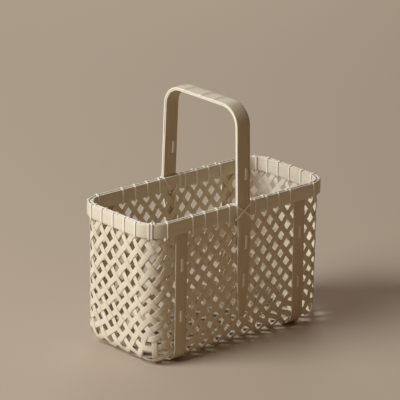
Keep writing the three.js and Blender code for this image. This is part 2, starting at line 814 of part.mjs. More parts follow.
// Handle lashing: over the rim beside the leg, across the leg, in under the rim behind it,
// up inside and the same again from the other side.
function lashing(side) {
  const gap = fit + lashThick / 2;
  const inner = grooveDepth / 2 - hoopFace - hoopThick - gap;
  const face = rimFace + strapThick + gap;
  const top = rimTop + gap;
  const low = rimLow - 1.1;
  const edge = handleWide / 2;
  const wall = grooveDepth / 2;
  const hole = low - 4;
  const rows = [
    [edge + 2.3, inner, top - 16, 1, 0, 0],
    [edge + 2.3, inner, top - 0.5, 1, 0, 0],
    [edge + 2.3, inner + 0.5, top, 1, 0, 0],
    [edge + 2.3, face - 2.7, top, 1, 0, 0],
    [edge + 1.6, face - 1, top - 0.6, 0.85, 0, -0.5],
    [edge + 0.4, face, top - 1.7, 0.61, 0, -0.79],
    [-edge - 0.4, face, low + 1.2, 0.61, 0, -0.79],
    [-edge - 2, face - 2.4, low, 0.2, 0, -0.98],
    [-edge - 0.2, wall + 3.2, low - 1.4, 0, 0, -1],
    [-3.4, wall + 3, low - 3.4, 0, 0, -1],
    [-1.2, wall + 2, hole, 0, 0, -1],
    [-1.2, wall - 2.6, hole, 0, 0, -1],
    [-3.2, inner + 1.2, hole + 1.6, -0.5, 0, -0.85],
    [-5, inner, low + 1, -0.9, 0, -0.43],
    [-edge - 1.6, inner, top - 3, -0.95, 0, -0.3],
    [-edge - 2.3, inner, top - 0.5, -1, 0, 0],
    [-edge - 2.3, inner + 0.5, top, -1, 0, 0],
    [-edge - 2.3, face - 2.7, top, -1, 0, 0],
    [-edge - 1.6, face - 1, top - 0.6, -0.85, 0, -0.5],
    [-edge - 0.4, face, top - 1.7, -0.61, 0, -0.79],
    [-2.6, face + lashThick + fit, top - 8.3, -0.61, 0, -0.79],
    [2.6, face + lashThick + fit, top - 12.2, -0.61, 0, -0.79],
    [edge + 0.4, face, low + 1.2, -0.61, 0, -0.79],
    [edge + 2, face - 2.4, low, -0.2, 0, -0.98],
    [edge + 0.2, wall + 3.2, low - 1.4, 0, 0, -1],
    [3.4, wall + 3, low - 3.4, 0, 0, -1],
    [1.2, wall + 2, hole, 0, 0, -1],
    [1.2, wall - 2.6, hole, 0, 0, -1],
    [3.2, inner + 1.2, hole + 1.6, 0.5, 0, -0.85],
    [5, inner, low + 1, 0.9, 0, -0.43],
    [8, inner, low + 7, 0.9, 0, -0.43],
  ];
  return strand(rows.map(([x, u, z, wx, wy, wz]) => ({
    at: new THREE.Vector3(x, side * u, z),
    width: new THREE.Vector3(wx, wy, wz).normalize(),
  })), lashWide, lashThick, false);
}
addNode('handle_front_lashing', lashing(-1), strandWood);
addNode('handle_back_lashing', lashing(1), strandWood);

// A place on the rim at a column: distance outside the groove, height and shift along it.
// The strand's width runs along the rim where across is 0, else outwards (1) or inwards (-1).
function rimStop(i, out, z, shift, across) {
  const { side, s } = columnAt(i);
  const { point, normal } = place(side, s, rimLow + 1 - wallFoot + arcLength);
  const along = new THREE.Vector3(-normal.y, normal.x, 0);
  const at = point.clone().addScaledVector(normal, out).addScaledVector(along, shift).setZ(z);
  return { at, width: across === 0 ? along : normal.multiplyScalar(across) };
}

// Rim binding: at every hole column but those of the ribs and legs it comes out of the
// groove, goes once round both hoops through the hole below, and back into the groove.
function binding(from, to, skip) {
  const step = Math.sign(to - from);
  const gap = fit + bindThick / 2;
  const face = hoopFace + hoopThick + gap;
  const top = rimTop + gap;
  const run = top - 3.8;
  const shift = 1.5;
  const stops = [rimStop(from - step, 0, run, 0, -step)];
  for (let i = from; step * i <= step * to; i += step) {
    if (i % 2 !== 0 || skip.includes(i)) {
      stops.push(rimStop(i, 0, run, 0, -step));
      continue;
    }
    const a = -step * shift;
    const b = step * shift;
    stops.push(
      rimStop(i, 0, run, a * 2.6, -step),
      rimStop(i, 1.2, top - 0.1, a, 0),
      rimStop(i, face, top, a, 0),
      rimStop(i, face, rimLow - 1.1, a, 0),
      rimStop(i, hoopFace + 0.3, rimLow - 4.4, a, 0),
      rimStop(i, -hoopFace - 0.3, rimLow - 4.4, b, 0),
      rimStop(i, -face, rimLow - 1.1, b, 0),
      rimStop(i, -face, top, b, 0),
      rimStop(i, -1.2, top - 0.1, b, 0),
      rimStop(i, 0, run, b * 2.6, -step),
    );
  }
  return stops;
}

// Least distance between two passes of a winding, less the width of the strand.
function selfGap(stops, wide) {
  const dots = [];
  let run = 0;
  for (let n = 1; n < stops.length; n += 1) {
    const from = stops[n - 1].at;
    const length = from.distanceTo(stops[n].at);
    for (let t = 0; t < length; t += 0.5) {
      dots.push({ at: from.clone().lerp(stops[n].at, t / length), run: run + t });
    }
    run += length;
  }
  let least = Infinity;
  for (let n = 0; n < dots.length; n += 1) {
    for (let m = n + 1; m < dots.length; m += 1) {
      if (dots[m].run - dots[n].run > 8) least = Math.min(least, dots[n].at.distanceTo(dots[m].at));
    }
  }
  return least - wide;
}

for (const [name, from, to, skip] of [
  ['left_rim_binding', 12, -22, [4, -14]],
  ['right_rim_binding', 16, 50, [24, 42]],
]) {
  const stops = binding(from, to, skip);
  console.log(`${name} least self gap ${selfGap(stops, bindWide).toFixed(2)} mm`);
  addNode(name, strand(stops, bindWide, bindThick, false), strandWood);
}

export default basket;
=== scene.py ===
import math

import bpy
import numpy as np
from mathutils import Matrix, Vector


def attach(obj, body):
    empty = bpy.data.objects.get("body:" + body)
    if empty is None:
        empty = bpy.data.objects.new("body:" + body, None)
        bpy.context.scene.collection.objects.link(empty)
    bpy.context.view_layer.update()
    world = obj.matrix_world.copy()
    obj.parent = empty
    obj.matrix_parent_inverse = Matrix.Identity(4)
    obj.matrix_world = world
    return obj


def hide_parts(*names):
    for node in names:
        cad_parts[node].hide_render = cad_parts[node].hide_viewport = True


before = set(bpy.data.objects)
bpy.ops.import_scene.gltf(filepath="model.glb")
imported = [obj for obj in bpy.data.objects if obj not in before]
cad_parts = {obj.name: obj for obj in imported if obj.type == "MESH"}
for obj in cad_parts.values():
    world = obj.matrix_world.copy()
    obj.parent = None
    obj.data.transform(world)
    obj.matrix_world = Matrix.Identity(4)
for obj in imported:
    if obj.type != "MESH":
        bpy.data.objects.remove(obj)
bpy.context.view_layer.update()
print("frame loaded:", len(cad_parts), "nodes")

mm = 0.001

# where the photograph was taken from, worked out from its outlines
cameraPlace = {
    "azimuth": -41.8,
    "elevation": 19.0,
    "roll": 1.0,
    "distance": 3.7971,
    "right": -0.0050,
    "up": 0.0748,
    "aimHeight": 0.09375,
    "lens": 270.0,
    "sensor": 36,
    "clip": 50,
}


def setCamera(place):
    az = math.radians(place["azimuth"])
    el = math.radians(place["elevation"])
    back = Vector((math.sin(az) * math.cos(el), -math.cos(az) * math.cos(el), math.sin(el)))
    level = Vector((math.cos(az), math.sin(az), 0))
    upright = back.cross(level)
    tilt = math.radians(place["roll"])
    right = level * math.cos(tilt) + upright * math.sin(tilt)
    up = upright * math.cos(tilt) - level * math.sin(tilt)
    spot = back * place["distance"] + right * place["right"] + up * place["up"]
    spot.z += place["aimHeight"]
    turn = Matrix((right, up, back)).transposed().to_4x4()
    bpy.ops.object.camera_add(location=spot, rotation=turn.to_euler())
    camera = bpy.context.object
    camera.data.lens = place["lens"]
    camera.data.sensor_width = place["sensor"]
    camera.data.clip_end = place["clip"]
    bpy.context.scene.camera = camera


setCamera(cameraPlace)
print("camera set")

# the woven wall: its outline, its bottom edge and the places of the crossings
# halves are half hole columns; a spread above 0 sets them wider apart in the middle
wall = {
    "length": 285.1 * mm,
    "depth": 133.9 * mm,
    "corner": 24.0 * mm,
    "topLength": 293.8 * mm,
    "topDepth": 132.8 * mm,
    "topCorner": 28.0 * mm,
    "edgeRadius": 17 * mm,
    "baseHeight": 2.8 * mm,
    "rimLow": 169.4 * mm,
    "rimTop": 187.5 * mm,
    "stripTop": 182.5 * mm,
    "longHalves": 28,
    "endHalves": 12,
    "longSpread": -0.004,
    "endSpread": 0.068,
    "baseSpreadLong": 0.04,
    "baseSpreadEnd": 0.14,
    "firstRow": 34.2 * mm,
    "rows": 13.2,
    "rowSpread": 0.13,
    "lastRow": 13,
    "wallStep": 15.2 * mm,
    "baseStep": 14.5 * mm,
    "cornerStep": 16.5 * mm,
    "cornerReach": 5,
    "straightness": 0.6,
    "rounds": 200,
}
splint = {
    "wide": 7.0 * mm,
    "thick": 0.6 * mm,
    "rise": 0.5 * mm,
    "edge": 0.1 * mm,
    "unevenness": 0.025,
    "spareTop": 0.5 * mm,
    "stepsPerCrossing": 8,
    "mapShift": 0.37,
    "solids": 38,
}
foot = wall["baseHeight"] + wall["edgeRadius"]
arcLength = wall["edgeRadius"] * math.pi / 2
coreX = wall["length"] / 2 - wall["corner"]
coreY = wall["depth"] / 2 - wall["corner"]
halfColumns = 2 * (wall["longHalves"] + wall["endHalves"])
topArc = wall["stripTop"] - foot + arcLength


def mix(a, b, t):
    return a + (b - a) * t


def outlineAt(z):  # half of both straight lengths and the corner radius, at one height or many
    t = np.clip((z - foot) / (wall["rimLow"] - foot), 0, 1)
    corner = mix(wall["corner"], wall["topCorner"], t)
    halfX = mix(wall["length"], wall["topLength"], t) / 2 - corner
    halfY = mix(wall["depth"], wall["topDepth"], t) / 2 - corner
    return halfX, halfY, corner


longH, endH = wall["longHalves"], wall["endHalves"]
sides = [
    {"along": (1, 0), "out": (0, -1), "core": coreX, "halves": longH, "start": 0},
    {"along": (0, 1), "out": (1, 0), "core": coreY, "halves": endH, "start": longH},
    {"along": (-1, 0), "out": (0, 1), "core": coreX, "halves": longH, "start": longH + endH},
    {"along": (0, -1), "out": (-1, 0), "core": coreY, "halves": endH, "start": 2 * longH + endH},
]


def placeOnWall(side, s, v):
    # the spot, and the way out there, for s along a wall from its middle and v up it from the flat base
    turn = min(max(v / wall["edgeRadius"], 0), math.pi / 2)
    inset = wall["edgeRadius"] * (1 - math.sin(turn)) + max(-v, 0)
    z = wall["baseHeight"] + wall["edgeRadius"] * (1 - math.cos(turn)) + max(v - arcLength, 0)
    halfX, halfY, corner = outlineAt(z)
    half, depth = (halfX, halfY) if side["along"][0] else (halfY, halfX)
    sign = math.copysign(1, s)
    share = abs(s) / (side["core"] + wall["corner"] * math.pi / 4)
    reach = share * (half + corner * math.pi / 4)  # columns keep their share of the wall at every height
    angle = sign * max(reach - half, 0) / corner
    flat = sign * min(reach, half)
    along = np.array(side["along"], float)
    out = np.array(side["out"], float)
    facing = along * math.sin(angle) + out * math.cos(angle)
    spot = along * flat + out * depth + facing * (corner - inset)
    normal = (facing[0] * math.sin(turn), facing[1] * math.sin(turn), -math.cos(turn))
    return np.array((spot[0], spot[1], z)), np.array(normal)


def placeOnSheet(x, y):  # a spot of the base as a flat sheet, wrapped up over its edge
    dx = x - min(max(x, -coreX), coreX)
    dy = y - min(max(y, -coreY), coreY)
    v = math.hypot(dx, dy) - (wall["corner"] - wall["edgeRadius"])
    if v <= 0:
        return np.array((x, y, wall["baseHeight"]))
    side = sides[0] if dy < 0 else sides[2]
    if abs(dx) > abs(dy):
        side = sides[1] if dx > 0 else sides[3]
    run = x * side["along"][0] + y * side["along"][1]
    over = abs(dx * side["along"][0] + dy * side["along"][1])
    front = abs(dx * side["out"][0] + dy * side["out"][1])
    if over > 0:
        run = math.copysign(side["core"] + wall["corner"] * math.atan2(over, front), run)
    return placeOnWall(side, run, v)[0]


def settle(points):  # nearest places on the woven surface, with the way out of it
    p = np.atleast_2d(points).astype(float)
    z = p[:, 2]
    halfX, halfY, corner = outlineAt(z)
    cx = np.clip(p[:, 0], -halfX, halfX)
    cy = np.clip(p[:, 1], -halfY, halfY)
    away = np.hypot(p[:, 0] - cx, p[:, 1] - cy)
    safe = np.maximum(away, 1e-9)
    nx, ny = (p[:, 0] - cx) / safe, (p[:, 1] - cy) / safe
    knee = corner - wall["edgeRadius"]
    turn = np.where(z >= foot, math.pi / 2, np.arctan2(away - knee, foot - z))
    reach = np.where(z >= foot, corner, knee + wall["edgeRadius"] * np.sin(turn))
    height = np.where(z >= foot, z, foot - wall["edgeRadius"] * np.cos(turn))
    flat = (away <= knee) & (z < foot)
    spot = np.stack([cx + nx * reach, cy + ny * reach, height], 1)
    normal = np.stack([nx * np.sin(turn), ny * np.sin(turn), -np.cos(turn)], 1)
    spot[flat] = np.stack([p[flat, 0], p[flat, 1], np.full(flat.sum(), wall["baseHeight"])], 1)
    normal[flat] = (0, 0, -1)
    normal[z >= foot, 2] = 0
    return spot, normal


def columnAt(i):  # the wall that a half column is on and its place along it
    k = i % halfColumns
    side = next(s for s in sides if s["start"] <= k <= s["start"] + s["halves"])
    f = 2 * (k - side["start"]) / side["halves"] - 1
    span = side["core"] + wall["corner"] * math.pi / 4
    spread = wall["longSpread"] if side["halves"] == longH else wall["endSpread"]
    return side, span * f * (1 + spread - spread * f * f)


def rowArc(j):  # the rows open out a little towards the rim
    t = j / wall["rows"]
    return wall["firstRow"] + (topArc - wall["firstRow"]) * (t - wall["rowSpread"] * t * (1 - t))


def wallPoint(i, j):
    side, s = columnAt(i)
    return placeOnWall(side, s, rowArc(j))[0]


sheetX = wall["length"] / 2 - wall["edgeRadius"] + wall["firstRow"]
sheetY = wall["depth"] / 2 - wall["edgeRadius"] + wall["firstRow"]


def basePoint(bi, bj):
    u, v = 2 * bi / longH - 1, 2 * bj / endH - 1
    x = sheetX * u * (1 + wall["baseSpreadLong"] * (1 - u * u))
    y = sheetY * v * (1 + wall["baseSpreadEnd"] * (1 - v * v))
    return placeOnSheet(x, y)


def wallKey(i, j):
    return ("wall", i % halfColumns, j)


crossings = {}
for i in range(halfColumns):
    for j in range(wall["lastRow"] + 2):
        if (i + j) % 2:
            crossings[wallKey(i, j)] = wallPoint(i, j)
for bi in range(1, longH):
    for bj in range(1, endH):
        if (bi + bj) % 2:
            crossings[("base", bi, bj)] = basePoint(bi, bj)


def traceSplint(i0, lean):  # from the rim down a wall, over the base and up again
    last = wall["lastRow"]
    path = [wallKey(i0 + lean * j, j) for j in range(last, -1, -1)]
    side = next(n for n, s in enumerate(sides) if s["start"] <= i0 <= s["start"] + s["halves"])
    n = i0 - sides[side]["start"]
    bi, bj = [(n, 0), (longH, n), (longH - n, endH), (0, endH - n)][side]
    stepX, stepY = [(-lean, 1), (-1, -lean), (lean, -1), (1, lean)][side]
    while True:
        bi, bj = bi + stepX, bj + stepY
        if bi <= 0 or bi >= longH or bj <= 0 or bj >= endH:
            break
        path.append(("base", bi, bj))
    if bi >= longH:
        i1, lean1 = longH + bj, stepY
    elif bj >= endH:
        i1, lean1 = 2 * longH + endH - bi, -stepX
    elif bi <= 0:
        i1, lean1 = halfColumns - bj, -stepY
    else:
        i1, lean1 = bi, stepX
    path += [wallKey(i1 + lean1 * j, j) for j in range(last + 1)]
    outside = (lean > 0) == ((i0 + lean * last) % 2 == 1)
    beyond = (wallKey(i0 + lean * (last + 1), last + 1), wallKey(i1 + lean1 * (last + 1), last + 1))
    return {"path": path, "ends": [(i0, lean), (i1, lean1)], "outside": outside, "beyond": beyond}


splints = []
taken = set()
for i in range(1, halfColumns, 2):
    for lean in (1, -1):
        if (i, lean) not in taken:
            one = traceSplint(i, lean)
            taken.update(one["ends"])
            splints.append(one)

neighbours = {}
for one in splints:
    for a, b in zip(one["path"], one["path"][1:]):
        neighbours.setdefault(a, []).append(b)
        neighbours.setdefault(b, []).append(a)


def fromCorner(i):  # half columns from the nearest corner of the wall
    apart = [abs(i - s["start"]) for s in sides]
    return min(min(d, halfColumns - d) for d in apart)


def nearCorner(key):
    kind, a, b = key
    if kind == "base":
        return max(min(a, longH - a), min(b, endH - b)) <= wall["cornerReach"]
    return max(fromCorner(a), b) <= wall["cornerReach"]


def atCornerHole(key):
    return max(fromCorner(key[1]), key[2]) <= 1


def restLength(a, b):
    if "base" in (a[0], b[0]):
        return wall["baseStep"]
    return wall["cornerStep"] if atCornerHole(a) and atCornerHole(b) else wall["wallStep"]


loose = [key for key in crossings if key in neighbours and nearCorner(key)]
for _ in range(wall["rounds"]):  # round the bottom corners the splints lie straight and evenly spaced
    for key in loose:
        here, around = crossings[key], neighbours[key]
        middle = sum(crossings[other] for other in around) / len(around)
        spaced = np.zeros(3)
        for other in around:
            away = here - crossings[other]
            spaced += crossings[other] + away * restLength(key, other) / np.linalg.norm(away)
        target = mix(spaced / len(around), middle, wall["straightness"])
        crossings[key] = settle(target)[0][0]
print("weave laid out:", len(splints), "splints,", len(crossings), "crossings")


smoothAngle = math.radians(40)
weldReach = 0.004 * mm
cutEdgeReach = 0.25 * mm
roundShare = 0.42  # the most of a strip's thickness that the rounding of an edge takes
acrossShift = 0.05  # how far a piece's place in the fibre pattern also moves across


def deselectAll():
    if bpy.context.object and bpy.context.object.mode != "OBJECT":
        bpy.ops.object.mode_set(mode="OBJECT")
    bpy.ops.object.select_all(action="DESELECT")


def useModifier(obj, name, kind, settings):
    modifier = obj.modifiers.new(name, kind)
    for key, value in settings.items():
        setattr(modifier, key, value)
    bpy.context.view_layer.objects.active = obj
    bpy.ops.object.modifier_apply(modifier=name)


def bentSheet(name, rows, along, around):  # a grid bent to its rows, with its own map in metres
    count, across = rows.shape[:2]
    deselectAll()
    bpy.ops.mesh.primitive_grid_add(x_subdivisions=across - 1, y_subdivisions=count - 1, size=1)
    obj = bpy.context.object
    obj.name = name
    mesh = obj.data
    mesh.vertices.foreach_set("co", rows.reshape(-1))
    loops = np.zeros(len(mesh.loops), int)
    mesh.loops.foreach_get("vertex_index", loops)
    uv = np.stack([along[loops // across], around[loops % across]], 1)
    mesh.uv_layers.active.data.foreach_set("uv", uv.reshape(-1))
    mesh.update()
    return obj


def runLength(points):
    return np.concatenate([[0], np.cumsum(np.linalg.norm(np.diff(points, axis=0), axis=1))])


def thinStrip(name, rows, thick, edge, lengthShift):  # a splint: a bent sheet given its thickness
    rows = np.asarray(rows, float)
    across = rows.shape[1]
    along = runLength(rows[:, across // 2]) + lengthShift
    obj = bentSheet(name, rows, along, runLength(rows[0]) + lengthShift * acrossShift)
    useModifier(obj, "thickness", "SOLIDIFY", {"thickness": thick, "offset": 0.0, "use_even_offset": True})
    useModifier(obj, "edges", "BEVEL", {
        "width": edge, "segments": 2, "limit_method": "ANGLE", "angle_limit": math.radians(50),
    })
    bpy.ops.object.shade_smooth_by_angle(angle=smoothAngle)
    return obj


def flatShape(wide, thick, rounding, crown, parts=3):  # cross-section of a flat strip
    shape = []
    turns = [(1, -1, -90), (1, 1, 0), (-1, 1, 90), (-1, -1, 180)]
    for sx, sy, start in turns:
        for n in range(parts + 1):
            a = math.radians(start + 90 * n / parts)
            x = sx * (wide / 2 - rounding) + rounding * math.cos(a)
            y = sy * (thick / 2 - rounding) + rounding * math.sin(a)
            shape.append((x, y))
        if (sx, sy) == (1, 1):
            shape += [(wide / 4, thick / 2), (0, thick / 2), (-wide / 4, thick / 2)]
    shape = np.array(shape)
    shape[:, 1] += np.where(shape[:, 1] > 0, crown * (1 - (2 * shape[:, 0] / wide) ** 2), 0)
    return shape


def sweptStrip(name, spots, sideways, shapes, closed=False, lengthShift=0.0, marks=None):
    # cross-sections along a line; marks the cut side edges and, where given, the nodes
    count = len(spots)
    if closed:
        ahead = np.roll(spots, -1, 0) - np.roll(spots, 1, 0)
    else:
        ahead = np.gradient(spots, axis=0)
    outward = np.cross(ahead, sideways)
    outward /= np.linalg.norm(outward, axis=1)[:, None]
    sideways = np.cross(outward, ahead)
    sideways /= np.linalg.norm(sideways, axis=1)[:, None]
    shapes = np.broadcast_to(shapes, (count, *np.shape(shapes)[-2:]))
    rows = spots[:, None] + sideways[:, None] * shapes[:, :, :1] + outward[:, None] * shapes[:, :, 1:]
    rows = np.concatenate([rows, rows[:, :1]], 1)
    if closed:
        rows = np.concatenate([rows, rows[:1]], 0)
        spots = np.concatenate([spots, spots[:1]], 0)
    around = runLength(np.vstack([shapes[0], shapes[0][:1]]))
    obj = bentSheet(name, rows, runLength(spots) + lengthShift, around + lengthShift * acrossShift)
    half = np.abs(shapes[:, :, 0]).max(1, keepdims=True)
    cut = np.clip((np.abs(shapes[:, :, 0]) - half) / cutEdgeReach + 1, 0, 1)
    cut = np.concatenate([cut, cut[:, :1]], 1)
    if closed:
        cut = np.concatenate([cut, cut[:1]], 0)
    edgeMark = obj.data.attributes.new("cutEdge", "FLOAT", "POINT")
    edgeMark.data.foreach_set("value", cut.reshape(-1).astype(np.float32))
    if marks is not None:
        mark = obj.data.attributes.new("nodeMark", "FLOAT", "POINT")
        mark.data.foreach_set("value", np.repeat(marks, rows.shape[1]).astype(np.float32))
    bpy.ops.object.mode_set(mode="EDIT")
    bpy.ops.mesh.select_all(action="SELECT")
    bpy.ops.mesh.remove_doubles(threshold=weldReach)
    if not closed:
        bpy.ops.mesh.fill_holes(sides=0)
    bpy.ops.mesh.select_all(action="SELECT")
    bpy.ops.mesh.normals_make_consistent(inside=False)
    bpy.ops.object.mode_set(mode="OBJECT")
    bpy.ops.object.shade_smooth_by_angle(angle=smoothAngle)
    return obj


def softLine(stops, step, rounds, closed=False):  # even steps along the stops, corners softened
    stops = np.asarray(stops, float)
    if closed:
        stops = np.vstack([stops, stops[:1]])
    at = runLength(stops[:, :3])
    places = np.linspace(0, at[-1], max(int(round(at[-1] / step)), 4) + 1)
    line = np.stack([np.interp(places, at, column) for column in stops.T], 1)
    if closed:
        line = line[:-1]
    for _ in range(rounds):
        if closed:
            line = (np.roll(line, 1, 0) + 2 * line + np.roll(line, -1, 0)) / 4
        else:
            line[1:-1] = (line[:-2] + 2 * line[1:-1] + line[2:]) / 4
    return line


def finishPiece(obj, nodes, material):
    obj.data.materials.clear()
    obj.data.materials.append(material)
    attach(obj, "root")
    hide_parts(*nodes)


def newMaterial(name):
    material = bpy.data.materials.new(name)
    material.use_nodes = True
    return material, material.node_tree.nodes, material.node_tree.links


def ramp(nodes, stops):
    node = nodes.new("ShaderNodeValToRGB")
    elements = node.color_ramp.elements
    while len(elements) < len(stops):
        elements.new(0.5)
    for element, (place, color) in zip(elements, stops):
        element.position = place
        element.color = (*color, 1)
    return node


def bambooMaterial(name, look):  # fibres along the strip, paler and darker stretches, node lines
    material, nodes, links = newMaterial(name)
    shader = nodes["Principled BSDF"]
    coords = nodes.new("ShaderNodeTexCoord")

    def noise(scale, size, detail, distortion=0.0):
        mapping = nodes.new("ShaderNodeMapping")
        mapping.inputs["Scale"].default_value = (*scale, 1)
        links.new(coords.outputs["UV"], mapping.inputs["Vector"])
        node = nodes.new("ShaderNodeTexNoise")
        node.inputs["Scale"].default_value = size
        node.inputs["Detail"].default_value = detail
        node.inputs["Distortion"].default_value = distortion
        links.new(mapping.outputs["Vector"], node.inputs["Vector"])
        return node.outputs["Fac"]

    def blend(kind, factor, a, b):
        node = nodes.new("ShaderNodeMix")
        node.data_type = "RGBA"
        node.blend_type = kind
        for socket, value in ((node.inputs[0], factor), (node.inputs[6], a), (node.inputs[7], b)):
            if hasattr(value, "links"):
                links.new(value, socket)
            else:
                socket.default_value = value
        return node.outputs[2]

    fibre = noise((look["fibreAlong"], look["fibreAcross"]), 1.0, 5.0, 0.2)
    tone = noise(look["toneScale"], 1.0, 2.0)
    patch = noise(look["patchScale"], 1.0, 3.0)
    fibreRamp = ramp(nodes, [(0.3, look["dark"]), (0.62, look["light"])])
    links.new(fibre, fibreRamp.inputs["Fac"])
    toneRamp = ramp(nodes, [(0.32, look["warm"]), (0.68, (1, 1, 1))])
    links.new(tone, toneRamp.inputs["Fac"])
    patchRamp = ramp(nodes, [(0.25, look["patch"]), (0.6, (1, 1, 1))])
    links.new(patch, patchRamp.inputs["Fac"])
    color = blend("MULTIPLY", 1.0, fibreRamp.outputs["Color"], toneRamp.outputs["Color"])
    color = blend("MULTIPLY", look["patchShare"], color, patchRamp.outputs["Color"])

    split = nodes.new("ShaderNodeSeparateXYZ")
    links.new(coords.outputs["UV"], split.inputs["Vector"])
    wrap = nodes.new("ShaderNodeMath")
    wrap.operation = "PINGPONG"
    wrap.inputs[1].default_value = look["nodeSpacing"]
    links.new(split.outputs["X"], wrap.inputs[0])
    joint = nodes.new("ShaderNodeMapRange")
    joint.interpolation_type = "SMOOTHSTEP"
    joint.inputs["From Min"].default_value = look["nodeLine"][0]
    joint.inputs["From Max"].default_value = look["nodeLine"][1]
    joint.inputs["To Min"].default_value = look["nodeDark"]
    joint.inputs["To Max"].default_value = 0.0
    links.new(wrap.outputs[0], joint.inputs["Value"])
    color = blend("MULTIPLY", joint.outputs["Result"], color, (*look["nodeTint"], 1))
    cut = nodes.new("ShaderNodeAttribute")
    cut.attribute_name = "cutEdge"
    color = blend("MIX", cut.outputs["Fac"], color, (*look["cutEdge"], 1))
    mark = nodes.new("ShaderNodeAttribute")
    mark.attribute_name = "nodeMark"
    color = blend("MULTIPLY", mark.outputs["Fac"], color, (*look["markTint"], 1))
    links.new(color, shader.inputs["Base Color"])

    rough = nodes.new("ShaderNodeMapRange")
    rough.inputs["To Min"].default_value = look["rough"][0]
    rough.inputs["To Max"].default_value = look["rough"][1]
    links.new(fibre, rough.inputs["Value"])
    links.new(rough.outputs["Result"], shader.inputs["Roughness"])
    bump = nodes.new("ShaderNodeBump")
    bump.inputs["Strength"].default_value = look["bump"]
    bump.inputs["Distance"].default_value = look["bumpHeight"]
    links.new(fibre, bump.inputs["Height"])
    links.new(bump.outputs["Normal"], shader.inputs["Normal"])
    return material


splintLook = {
    "light": (0.81, 0.74, 0.60),
    "dark": (0.72, 0.63, 0.47),
    "warm": (0.95, 0.91, 0.84),
    "toneScale": (3.0, 12.0),
    "patch": (0.94, 0.90, 0.83),
    "patchScale": (26.0, 140.0),
    "patchShare": 0.8,
    "fibreAlong": 18.0,
    "fibreAcross": 2600.0,
    "nodeSpacing": 0.16,
    "nodeLine": (0.4 * mm, 2.2 * mm),
    "nodeDark": 0.35,
    "nodeTint": (0.45, 0.33, 0.20),
    "markTint": (0.85, 0.77, 0.64),
    "cutEdge": (0.84, 0.78, 0.64),
    "rough": (0.42, 0.62),
    "bump": 0.35,
    "bumpHeight": 0.3 * mm,
}
hoopLook = dict(splintLook, light=(0.80, 0.74, 0.61), dark=(0.71, 0.63, 0.49), fibreAcross=1700.0)
hoopLook.update(nodeDark=0.0, bump=0.25)
# the straps are coloured darker than the hoops: painted shade for their shaded faces
strapPaintedShadeLook = dict(hoopLook, light=(0.67, 0.58, 0.43), dark=(0.56, 0.46, 0.32), fibreAcross=1500.0)
# the strands are paler than the hoops: partly their own pale colour, partly a painted highlight where the
# stitches catch light
paleStrandAndPaintedHighlightLook = dict(hoopLook, light=(0.95, 0.91, 0.82), dark=(0.88, 0.82, 0.69), fibreAcross=3000.0)
splintMaterial = bambooMaterial("bleachedSplint", splintLook)
hoopMaterial = bambooMaterial("rimBamboo", hoopLook)
strapPaintedShadeMaterial = bambooMaterial("strapBambooPaintedShade", strapPaintedShadeLook)
strandMaterial = bambooMaterial("bindingStrand", paleStrandAndPaintedHighlightLook)
print("finishes made")


def curveThrough(points, parts):  # an even curve through the points
    points = np.asarray(points, float)
    padded = np.vstack([2 * points[0] - points[1], points, 2 * points[-1] - points[-2]])
    out = []
    for n in range(1, len(padded) - 2):
        p0, p1, p2, p3 = padded[n - 1:n + 3]
        for k in range(parts):
            t = k / parts
            out.append(0.5 * (2 * p1 + (p2 - p0) * t + (2 * p0 - 5 * p1 + 4 * p2 - p3) * t * t
                              + (3 * p1 - p0 - 3 * p2 + p3) * t ** 3))
    out.append(padded[-2])
    return np.array(out)


def splintRows(one, seed):
    parts = splint["stepsPerCrossing"]
    keys = [one["beyond"][0], *one["path"], one["beyond"][1]]
    line = curveThrough([crossings[key] for key in keys], parts)
    phase = np.arange(len(line)) / parts - 1
    sign = 1 if one["outside"] else -1
    spot, normal = settle(line)
    ahead = np.gradient(spot, axis=0)
    sideways = np.cross(ahead, normal)
    sideways /= np.linalg.norm(sideways, axis=1)[:, None]
    keep = spot[:, 2] <= wall["stripTop"] + splint["spareTop"]
    rows = []
    for n in np.nonzero(keep)[0]:
        lift = sign * splint["rise"] * math.cos(math.pi * phase[n])
        wide = splint["wide"] * (1 + splint["unevenness"] * math.sin(phase[n] * 0.9 + seed * 2.1))
        row = []
        for share in (-1, -0.5, 0, 0.5, 1):
            place, out = settle(spot[n] + sideways[n] * share * wide / 2)
            row.append(place[0] + out[0] * lift)
        rows.append(row)
    return rows


for n, one in enumerate(splints, 1):
    rows = splintRows(one, n)
    piece = thinStrip(f"splint_{n:02d}", rows, splint["thick"], splint["edge"], n * splint["mapShift"])
    solid = (n - 1) % splint["solids"] + 1  # the ends have one more hole column than the solids
    finishPiece(piece, [f"woven_strip_{solid:02d}"], splintMaterial)
print("splints woven")

# the two hoops of the rim, each bent from a flat band whose ends overlap at the back
rim = {
    "groove": 2.8 * mm,
    "outerThick": 1.7 * mm,
    "innerThick": 2.2 * mm,
    "low": wall["rimLow"],
    "top": wall["rimTop"],
    "rounding": 0.6 * mm,
    "crown": 0.2 * mm,
    "crownShare": 0.1,
    "overlap": 42 * mm,
    "scarfX": 52 * mm,
    "scarfThick": 0.35 * mm,
    "step": 2.2 * mm,
}
rimX, rimY, rimCorner = outlineAt(rim["low"])  # of the line midway between the hoops
rimRound = 4 * (rimX + rimY) + 2 * math.pi * rimCorner


